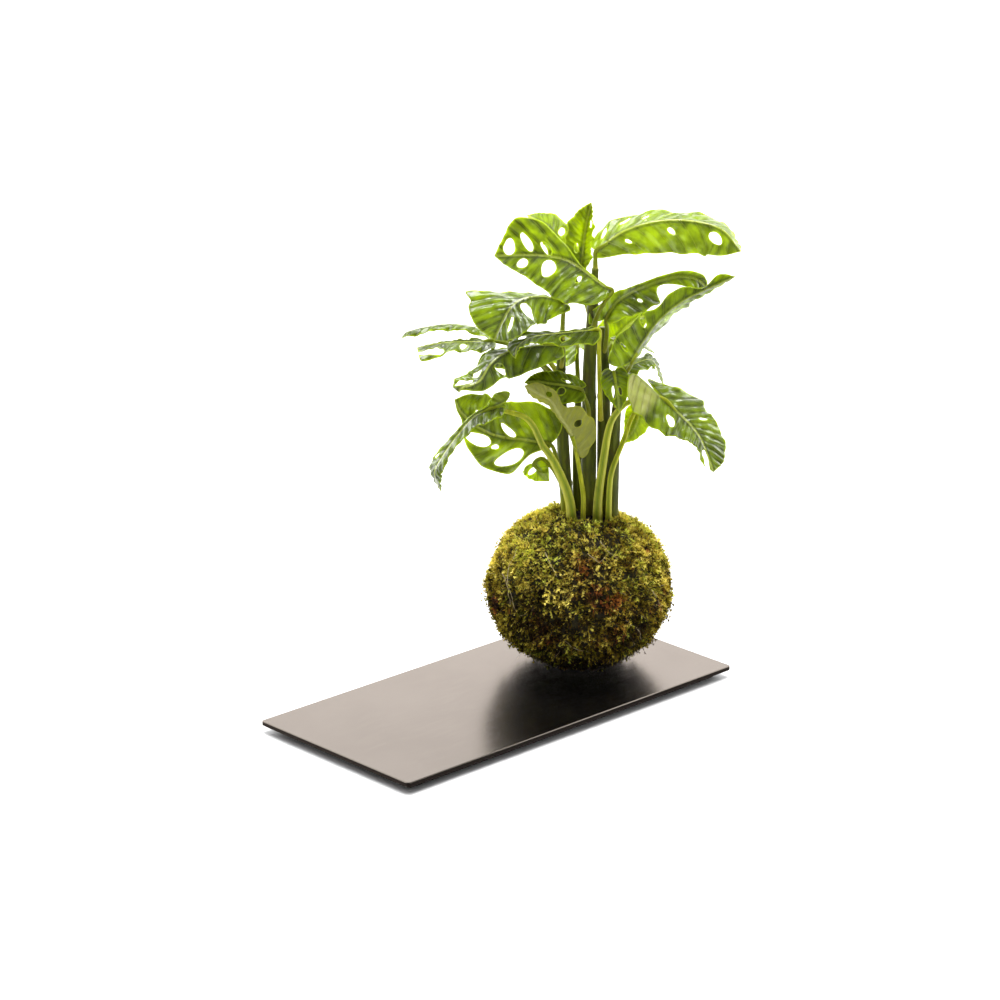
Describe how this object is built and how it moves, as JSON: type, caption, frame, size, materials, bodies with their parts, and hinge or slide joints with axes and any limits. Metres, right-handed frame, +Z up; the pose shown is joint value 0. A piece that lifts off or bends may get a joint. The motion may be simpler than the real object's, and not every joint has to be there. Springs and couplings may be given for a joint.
{
  "type": "kokedama moss ball plant",
  "caption": "Young holed-leaf climbing plant growing from a round moss-wrapped root ball that stands on a flat black rectangular tray.",
  "frame": {"origin": "on the floor, under the middle of the whole object", "axes": "+Z up, +X along the tray's long side towards the end that the moss ball stands on, +Y along its short side, away from the corner that the picture looks over"},
  "size_m": [0.3056, 0.18, 0.3303],
  "materials": {
    "tray": "black lacquer, satin",
    "soil": "matte, moist",
    "moss": "matte, tufted",
    "stem": "satin",
    "leaf": "waxy"
  },
  "bodies": {
    "root": {"tray_plate": "tray", "tray_base": "tray", "soil_ball": "soil", "moss_cover": "moss", "stem_main": "stem", "stem_second": "stem", "stem_right": "stem", "stem_centre": "stem", "stem_left": "stem", "leaf_top_right": "leaf", "leaf_top_left": "leaf", "leaf_top_back": "leaf", "leaf_top_young": "leaf", "leaf_left_upper": "leaf", "leaf_left_far": "leaf", "leaf_left_middle": "leaf", "leaf_left_front": "leaf", "leaf_centre_left": "leaf", "leaf_back_left": "leaf", "leaf_right_upper": "leaf", "leaf_right_front": "leaf", "leaf_right_small": "leaf", "leaf_right_curled": "leaf", "leaf_right_arching": "leaf", "leaf_centre_hanging": "leaf", "leaf_left_arching": "leaf", "leaf_left_lower": "leaf", "leaf_lower_small": "leaf", "leaf_centre_pale": "leaf", "leaf_centre_dark": "leaf", "leaf_back_right": "leaf", "leaf_right_lower": "leaf", "leaf_left_inner": "leaf"}
  },
  "joints": []
}
